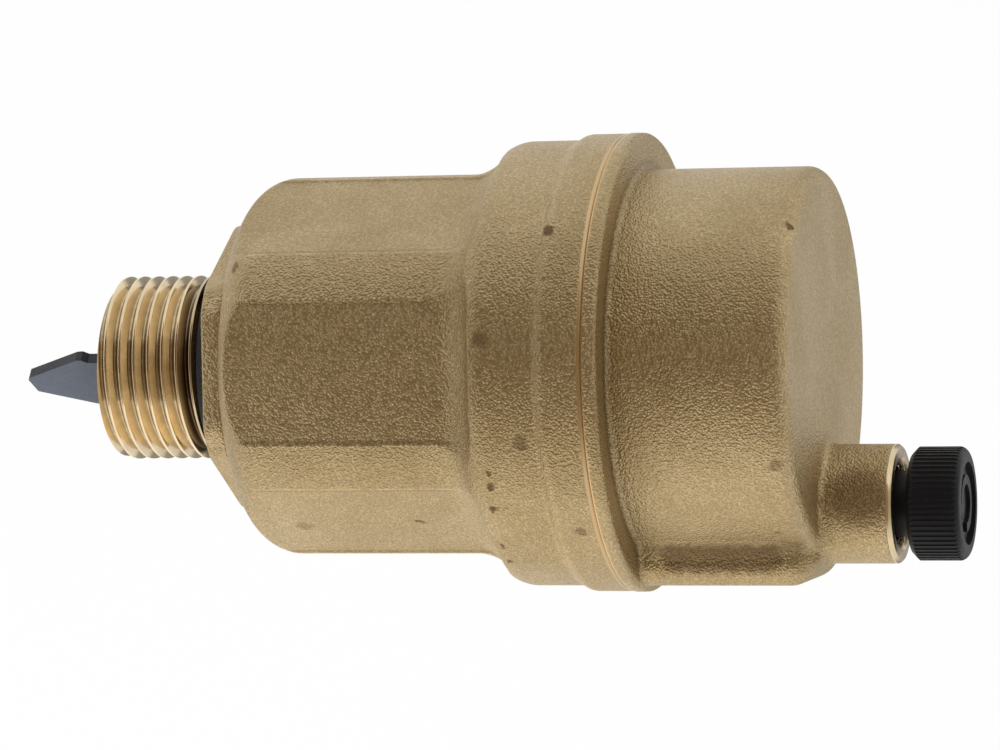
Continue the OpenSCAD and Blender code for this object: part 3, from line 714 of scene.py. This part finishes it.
def skin_over(distance, low, high, cell):
    """Points set on the zero level of a distance, and the quads between them."""
    axes = [np.arange(a, b + cell, cell) for a, b in zip(low, high)]
    shape = [len(a) for a in axes]
    values = np.empty(shape)
    for i, x in enumerate(axes[0]):
        grid = np.stack(np.meshgrid([x], axes[1], axes[2], indexing="ij"), axis=-1)[0]
        values[i] = distance(grid)
    inside = values < 0
    total = np.zeros([n - 1 for n in shape] + [3])
    count = np.zeros([n - 1 for n in shape])
    crossings = []
    for axis in range(3):
        a = np.moveaxis(values, axis, 0)
        sign = np.moveaxis(inside, axis, 0)
        hit = np.moveaxis(sign[:-1] != sign[1:], 0, axis)
        part = np.moveaxis(a[:-1] / np.where(a[:-1] == a[1:], 1, a[:-1] - a[1:]), 0, axis)
        where = np.argwhere(hit)
        at = where.astype(float)
        at[:, axis] += part[hit]
        crossings.append((axis, where, inside[tuple(where.T)]))
        others = [k for k in range(3) if k != axis]
        for da in (0, 1):
            for db in (0, 1):
                cellpos = where.copy()
                cellpos[:, others[0]] -= da
                cellpos[:, others[1]] -= db
                ok = np.all((cellpos >= 0) & (cellpos < np.array(shape) - 1), axis=1)
                spot = tuple(cellpos[ok].T)
                np.add.at(total, spot, at[ok])
                np.add.at(count, spot, 1)
    used = count > 0
    index = np.full(used.shape, -1)
    index[used] = np.arange(used.sum())
    points = total[used] / count[used][:, None] * cell + np.array(low)
    faces = []
    for axis, where, sign in crossings:
        b, c = [(1, 2), (2, 0), (0, 1)][axis]
        around = []
        for db, dc in ((0, 0), (1, 0), (1, 1), (0, 1)):
            cellpos = where.copy()
            cellpos[:, b] -= db
            cellpos[:, c] -= dc
            cellpos = np.clip(cellpos, 0, np.array(shape) - 2)
            around.append(index[tuple(cellpos.T)])
        quad = np.stack(around, axis=1)
        quad = np.where(sign[:, None], quad, quad[:, ::-1])
        faces.append(quad[np.all(quad >= 0, axis=1)])
    for _ in range(4):
        points = points - slope(distance, points) * distance(points)[:, None]
    return points, np.concatenate(faces)


def cut_below(piece, height):
    """Cuts a piece off level at a height."""
    work = bmesh.new()
    work.from_mesh(piece.data)
    bmesh.ops.bisect_plane(work, geom=work.verts[:] + work.edges[:] + work.faces[:], dist=1e-8,
                           plane_co=(0, 0, height), plane_no=(0, 0, 1), clear_inner=True)
    work.to_mesh(piece.data)
    work.free()


def lathe(piece_name, profile, centre, columns, material, slot, *nodes):
    """Piece turned about an upright axis from a profile of radius and height in millimetres."""
    theta = np.linspace(0, TURN, columns, endpoint=False)
    points = []
    for radius, height in profile:
        points.append(np.stack([centre + radius * np.cos(theta), radius * np.sin(theta),
                                np.full_like(theta, height)], axis=1))
    points = np.concatenate(points) * MM
    piece = new_piece(piece_name, points, rings_to_faces(len(profile), columns), material, slot, *nodes)
    weld(piece, sharp=25)


def dress(material, *nodes):
    """Gives CAD nodes a finish."""
    for node in nodes:
        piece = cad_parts[node]
        if not piece.material_slots:
            piece.data.materials.append(material)
        for item in piece.material_slots:
            item.material = material


# Direction square to the plate of the drip fin, whose rim faces get painted shade
FIN_AXIS = (0.766, -0.643, 0.0)

# Stains on the forgings, with some spots of painted shade on the cover, as x, y, z and radius in millimetres,
# and strength
BODY_STAINS = [
    (-12.1, -16.3, 33.0, 0.75, 0.8), (-2.8, -19.5, 27.8, 1.0, 0.5), (14.0, -7.4, 7.9, 1.0, 0.35),
    (13.6, -8.2, 18.8, 0.55, 0.7), (-9.3, -13.6, 4.0, 0.65, 0.6), (8.6, -17.7, 27.7, 0.4, 0.7),
    (9.8, -17.1, 27.8, 0.5, 0.8), (11.8, -15.7, 27.7, 0.6, 0.8), (15.3, -12.2, 27.5, 0.42, 0.7),
    (16.8, -10.1, 27.5, 0.42, 0.7), (14.0, -14.7, 35.1, 0.75, 0.45), (6.0, -18.8, 31.0, 0.9, 0.45)]
COVER_STAINS_AND_SHADE = [(-12.1, -12.0, 53.7, 0.75, 0.8), (8.3, -14.9, 52.4, 0.9, 0.4), (18.9, -4.0, 45.2, 1.0, 0.5),
                # The last spot is painted shade on the -y side of the nozzle.
                (11.6, -5.1, 57.6, 3.6, 0.5)]
# Painted shade along the -y side of the boss
COVER_STAINS_AND_SHADE += [(16.9, -6.4, z, 1.9, 0.5) for z in (41.6, 43.2, 44.8, 46.4, 48.0, 49.6)]


class VALVE_OT_forged_body(bpy.types.Operator):
    """Makes the forged body with its collar, spanner flats, flare and lip"""

    bl_idname = "valve.forged_body"
    bl_label = "Forged body"

    def execute(self, context):
        forging, _, _, _ = settings()
        theta = body_angles(forging.columns)
        rows, edges, corner_shades = body_rows(theta, forging.flat_edge / MM)
        rings = [np.stack([r * np.cos(theta), r * np.sin(theta), np.full_like(theta, z)], axis=1)
                 for r, z in rows]
        points = np.concatenate(rings) * MM
        material = forged_brass("blasted brass body", (36.42, JOINT_Z), BODY_STAINS)
        piece = new_piece("forged_body", points, rings_to_faces(len(rows), len(theta)), material,
                          "forged_brass", "body")
        mark(piece, "edge", np.concatenate(edges))
        mark(piece, "corner_shade", np.concatenate(corner_shades))
        piece.data.shade_smooth()
        piece.data.set_sharp_from_angle(angle=math.radians(50))
        return {"FINISHED"}


class VALVE_OT_inlet_thread(bpy.types.Operator):
    """Makes the turned inlet thread, cut as a right hand helix"""

    bl_idname = "valve.inlet_thread"
    bl_label = "Inlet thread"

    def execute(self, context):
        _, turning, _, _ = settings()
        columns = 240
        theta, r, z = thread_rows(columns, turning.thread_radius / MM, turning.thread_pitch / MM,
                                  turning.thread_depth / MM)
        root = (turning.thread_radius - turning.thread_depth) / MM
        for radius, height in ((root, THREAD_HIGH + 0.1), (root, 0.0)):
            r = np.vstack([r, np.full(columns + 1, radius)])
            z = np.vstack([z, np.full(columns + 1, height)])
        for radius, height in ((root, THREAD_LOW), (6.8, THREAD_LOW), (BORE_R, -10.8), (BORE_R, 0.0)):
            r = np.vstack([np.full(columns + 1, radius), r])
            z = np.vstack([np.full(columns + 1, height), z])
        points = np.stack([r * np.cos(theta), r * np.sin(theta), z], axis=-1).reshape(-1, 3) * MM
        wide = columns + 1
        row = np.arange(len(r) - 1)[:, None] * wide
        here = np.arange(columns)[None, :]
        quads = np.stack([row + here, row + here + 1, row + wide + here + 1, row + wide + here], axis=-1)
        material = thread_brass("turned brass thread", -3.1)
        piece = new_piece("inlet_thread", points, quads.reshape(-1, 4), material,
                          "turned_brass", "body")
        crest = turning.thread_radius / MM
        mark(piece, "edge", np.clip((r - crest + 0.07) / 0.05, 0, 1).ravel())
        # The roots are marked for painted shade and dirt.
        mark(piece, "corner_shade", (np.clip((root + 0.22 - r) / 0.2, 0, 1) * (r > root - 0.01)).ravel())
        weld(piece, 2e-7, 30)
        return {"FINISHED"}


class VALVE_OT_forged_cover(bpy.types.Operator):
    """Makes the forged cover, its cap and boss run together, and the turned nozzle rim"""

    bl_idname = "valve.forged_cover"
    bl_label = "Forged cover"

    def execute(self, context):
        forging, _, _, _ = settings()
        points, faces = skin_over(cover_distance, (-20.8, -20.8, 35.6), (20.8, 20.8, 60.7),
                                  forging.cell / MM)
        if len(points) < 1000:
            raise RuntimeError("the cover came out empty")
        material = forged_brass("blasted brass cover", (36.80, 36.97), COVER_STAINS_AND_SHADE)
        piece = new_piece("forged_cover", points * MM, faces, material, "forged_brass_cover", "cover")
        cut_below(piece, JOINT_Z * MM)
        points = np.array([v.co[:] for v in piece.data.vertices]) / MM
        normals = slope(cover_distance, points, 0.05)
        piece.data.shade_smooth()
        piece.data.normals_split_custom_set_from_vertices([tuple(n) for n in normals])
        across = np.hypot(points[:, 0], points[:, 1])
        top = np.clip(1 - np.hypot(across - 16.65, points[:, 2] - 53.47) / 0.8, 0, 1)
        foot = np.clip(1 - (points[:, 2] - JOINT_Z) / 0.5, 0, 1) * (across > 18)
        # Painted shade goes in the corner behind the joint ring and along the seam between the cap and the
        # boss.
        corner = np.clip(1 - np.hypot(across - 17.5, points[:, 2] - 38.3) / 0.7, 0, 1)
        mark(piece, "edge", np.maximum(0.5 * top, 0.8 * foot))
        cap, boss = cap_and_boss(points)
        seam_shade = np.clip(1.3 - np.maximum(np.abs(cap), np.abs(boss)) / 0.9, 0, 1)
        seam_shade *= np.clip((53.2 - points[:, 2]) / 0.8, 0, 1)
        mark(piece, "corner_shade", np.maximum(0.7 * corner, seam_shade))
        lathe("cover_spigot", [(20.32, JOINT_Z), (15.5, JOINT_Z), (15.5, 35.55), (14.4, 35.55), (14.4, 33.95),
                               (15.5, 33.95), (15.5, 30.45), (13.3, 30.45), (13.3, JOINT_Z)],
              0.0, 200, turned_brass("turned brass spigot"), "turned_brass", "cover")
        lathe("nozzle_rim", [(5.20, 59.93), (5.255, 59.96), (5.255, 60.08), (5.20, 60.2), (5.02, 60.38),
                             (4.95, 60.4), (4.22, 60.4), (4.14, 60.36), (3.66, 59.88), (3.59, 59.78),
                             (3.59, 57.0)],
              NOZZLE_X, 160, turned_brass("turned brass rim"), "turned_brass", "cover")
        return {"FINISHED"}


class VALVE_OT_vent_screw(bpy.types.Operator):
    """Gives the vent knob and its stem their moulded black finish"""

    bl_idname = "valve.vent_screw"
    bl_label = "Vent screw"

    def execute(self, context):
        moulding = settings()[2]
        black = moulded("black moulded knob", moulding.knob_tone, 1.6, 0.44, shine=0.26)
        dress(black, "vent_knob", "vent_stem")
        return {"FINISHED"}


class VALVE_OT_inlet_trim(bpy.types.Operator):
    """Gives the gasket, the drip fin and its ring their finish"""

    bl_idname = "valve.inlet_trim"
    bl_label = "Inlet trim"

    def execute(self, context):
        moulding = settings()[2]
        dress(moulded("gasket rubber", moulding.gasket_tone, 1.5, 0.55, 3200.0), "inlet_gasket")
        # The rim faces of the fin get painted shade.
        grey = moulded("grey moulded fin", moulding.fin_tone, 1.18, 0.45, plate_axis=FIN_AXIS)
        dress(grey, "drip_fin")
        dress(moulded("grey moulded ring", moulding.fin_tone, 1.18, 0.45), "fin_ring")
        return {"FINISHED"}


class VALVE_OT_float_works(bpy.types.Operator):
    """Gives the float, the lever works, the seat and the seals their finish"""

    bl_idname = "valve.float_works"
    bl_label = "Float works"

    def execute(self, context):
        moulding = settings()[2]
        dress(moulded("natural float plastic", moulding.float_tone, 1.1, 0.42),
              "float_shell", "float_lid", "float_hook")
        dress(plain_steel("plain steel works", moulding.steel_tone), "hook_pin", "lever", "lever_pin",
              "lever_bracket", "bracket_screw_a", "bracket_screw_b")
        dress(turned_brass("turned brass seat"), "seat_insert")
        dress(moulded("black seal rubber", (0.016, 0.016, 0.017), 1.5, 0.5, 3600.0),
              "cover_seal", "seat_seal", "stem_seal", "valve_pad")
        return {"FINISHED"}


class VALVE_OT_stage(bpy.types.Operator):
    """Sets the floor, the soft light and the camera"""

    bl_idname = "valve.stage"
    bl_label = "Stage"

    def lamp(self, name, power, size, spot, target, tone):
        data = bpy.data.lights.new(name, "AREA")
        data.energy = power
        data.shape = "DISK"
        data.size = size
        data.color = tone
        lamp = bpy.data.objects.new(name, data)
        lamp.location = spot
        lamp.rotation_euler = (Vector(target) - Vector(spot)).to_track_quat("-Z", "Y").to_euler()
        lamp.visible_glossy = False
        bpy.context.collection.objects.link(lamp)

    def seen(self, tree):
        """One for rays that see a surface or the sky itself, and 0 for those that only carry its light."""
        path = put(tree, "ShaderNodeLightPath").outputs
        straight = maths(tree, "MAXIMUM", path["Is Camera Ray"], path["Is Glossy Ray"])
        return maths(tree, "MAXIMUM", straight, path["Is Transmission Ray"])

    def plate(self, name, corners, material):
        mesh = bpy.data.meshes.new(name)
        mesh.from_pydata(corners, [], [(0, 1, 2, 3)])
        mesh.materials.append(material)
        plate = bpy.data.objects.new(name, mesh)
        bpy.context.collection.objects.link(plate)
        return plate

    def execute(self, context):
        stage = settings()[3]
        scene = context.scene
        scene.view_settings.view_transform = "Standard"

        floor_material = bpy.data.materials.new("pale floor")
        floor_material.use_nodes = True
        floor_tree = floor_material.node_tree
        floor_shader = floor_tree.nodes["Principled BSDF"]
        floor_shader.inputs["Roughness"].default_value = 0.9
        floor_shader.inputs["Specular IOR Level"].default_value = 0.0
        floor_shader.inputs["Base Color"].default_value = (0.86, 0.86, 0.86, 1)
        glow = put(floor_tree, "ShaderNodeEmission", {"Color": (1, 1, 1, 1), "Strength": 1.015})
        share = maths(floor_tree, "MULTIPLY", self.seen(floor_tree), 0.96)
        mixed = put(floor_tree, "ShaderNodeMixShader", {
            0: share, 1: floor_shader.outputs[0], 2: glow.outputs[0]})
        floor_tree.links.new(mixed.outputs[0], floor_tree.nodes["Material Output"].inputs["Surface"])
        z = stage.floor_height
        self.plate("floor", [(-6, -6, z), (6, -6, z), (6, 6, z), (-6, 6, z)], floor_material)

        # Cards that only mirrors show: the blasted and turned metal takes its light and shade from them
        low = z + 0.001
        over = z + 0.002
        near, far, wide, top = 0.05, 1.0, 0.9, 1.3
        half_up, up = 0.4, 1.4
        dark_tone = [0.22 * c for c in stage.card_tone]
        cards = (
            ("front_card", stage.card_tone,
             [(-wide, -far, low), (wide, -far, low), (wide, -far, top), (-wide, -far, top)]),
            ("floor_card", stage.card_tone,
             [(-1.2, -far, low), (wide, -far, low), (0.05, -near, low), (-0.09, -near, low)]),
            ("dark_card", dark_tone,
             [(-0.11, -0.125, over), (0.008, -0.125, over), (0.004, -0.055, over), (-0.05, -0.055, over)]),
            ("side_card", (1.36, 1.31, 1.22),
             [(0.06, -0.16, low), (0.9, -0.70, low), (0.9, 0.30, low), (0.06, 0.10, low)]),
            ("top_card", stage.top_tone,
             [(-0.6, -far, top), (0.6, -far, top), (0.6, 0.25, top), (-0.6, 0.25, top)]),
            ("back_card", stage.back_tone,
             [(wide, far, low), (-wide, far, low), (-wide, far, half_up), (wide, far, half_up)]),
            ("high_card", stage.high_tone,
             [(wide, far, half_up), (-wide, far, half_up), (-wide, far, up), (wide, far, up)]))
        for name, tone, corners in cards:
            card_material = bpy.data.materials.new(name)
            card_material.use_nodes = True
            card_tree = card_material.node_tree
            card_glow = put(card_tree, "ShaderNodeEmission", {"Color": (*tone, 1), "Strength": 1.0})
            card_tree.links.new(card_glow.outputs[0], card_tree.nodes["Material Output"].inputs["Surface"])
            card = self.plate(name, corners, card_material)
            card.visible_camera = False
            card.visible_diffuse = False
            card.visible_shadow = False
            card.visible_transmission = False

        world = bpy.data.worlds.new("studio")
        world.use_nodes = True
        sky = world.node_tree
        back = sky.nodes["Background"]
        back.inputs["Color"].default_value = (1, 1, 1, 1)
        sky.links.new(ramp(sky, self.seen(sky), 0.0, 1.0, stage.sky, 1.0), back.inputs["Strength"])
        scene.world = world

        middle = (0.0, 0.0, 0.024)
        self.lamp("key_lamp", stage.key_power, 0.6, (0.70, 0.05, 0.35), middle, (1.0, 0.98, 0.95))
        self.lamp("fill_lamp", stage.fill_power, 0.7, (0.15, -0.45, 0.60), middle, (0.97, 0.98, 1.0))

        eye = Vector((-18.005, -444.231, 147.252)) * MM
        aim = Vector((1.0084, 0.0, 24.1382)) * MM
        forward = (aim - eye).normalized()
        right = (Vector((0, 0, 1)) - forward * forward.z).normalized()
        up = right.cross(forward)
        roll = -0.01012
        across = math.cos(roll) * right + math.sin(roll) * up
        upward = -math.sin(roll) * right + math.cos(roll) * up
        data = bpy.data.cameras.new("camera")
        data.sensor_fit = "HORIZONTAL"
        data.sensor_width = 36.0
        data.lens = stage.lens
        data.clip_start = 0.01
        data.clip_end = 20.0
        camera = bpy.data.objects.new("camera", data)
        camera.matrix_world = Matrix((
            (across.x, upward.x, -forward.x, eye.x), (across.y, upward.y, -forward.y, eye.y),
            (across.z, upward.z, -forward.z, eye.z), (0, 0, 0, 1)))
        bpy.context.collection.objects.link(camera)
        scene.camera = camera
        return {"FINISHED"}


class VALVE_PT_dressing(bpy.types.Panel):
    """Lists the settings and the pieces of the valve"""

    bl_idname = "VALVE_PT_dressing"
    bl_label = "Air release valve"
    bl_space_type = "VIEW_3D"
    bl_region_type = "UI"
    bl_category = "Valve"

    def draw(self, context):
        for group in settings():
            box = self.layout.box()
            for name in group.bl_rna.properties.keys():
                if name not in ("rna_type", "name"):
                    box.prop(group, name)
        for operator in OPERATORS:
            self.layout.operator(operator.bl_idname)


GROUP_CLASSES = (ForgingSettings, TurningSettings, MouldingSettings, StageSettings)
OPERATORS = (VALVE_OT_forged_body, VALVE_OT_inlet_thread, VALVE_OT_forged_cover, VALVE_OT_vent_screw,
             VALVE_OT_inlet_trim, VALVE_OT_float_works, VALVE_OT_stage)


def register():
    for item in GROUP_CLASSES + OPERATORS + (VALVE_PT_dressing,):
        bpy.utils.register_class(item)
    bpy.types.Scene.valve_forging = bpy.props.PointerProperty(type=ForgingSettings)
    bpy.types.Scene.valve_turning = bpy.props.PointerProperty(type=TurningSettings)
    bpy.types.Scene.valve_moulding = bpy.props.PointerProperty(type=MouldingSettings)
    bpy.types.Scene.valve_stage = bpy.props.PointerProperty(type=StageSettings)


def unregister():
    del bpy.types.Scene.valve_stage
    del bpy.types.Scene.valve_moulding
    del bpy.types.Scene.valve_turning
    del bpy.types.Scene.valve_forging
    for item in reversed(GROUP_CLASSES + OPERATORS + (VALVE_PT_dressing,)):
        bpy.utils.unregister_class(item)


def main():
    register()
    bpy.ops.valve.forged_body()
    bpy.ops.valve.inlet_thread()
    bpy.ops.valve.forged_cover()
    bpy.ops.valve.vent_screw()
    bpy.ops.valve.inlet_trim()
    bpy.ops.valve.float_works()
    bpy.ops.valve.stage()


if __name__ == "__main__":
    main()
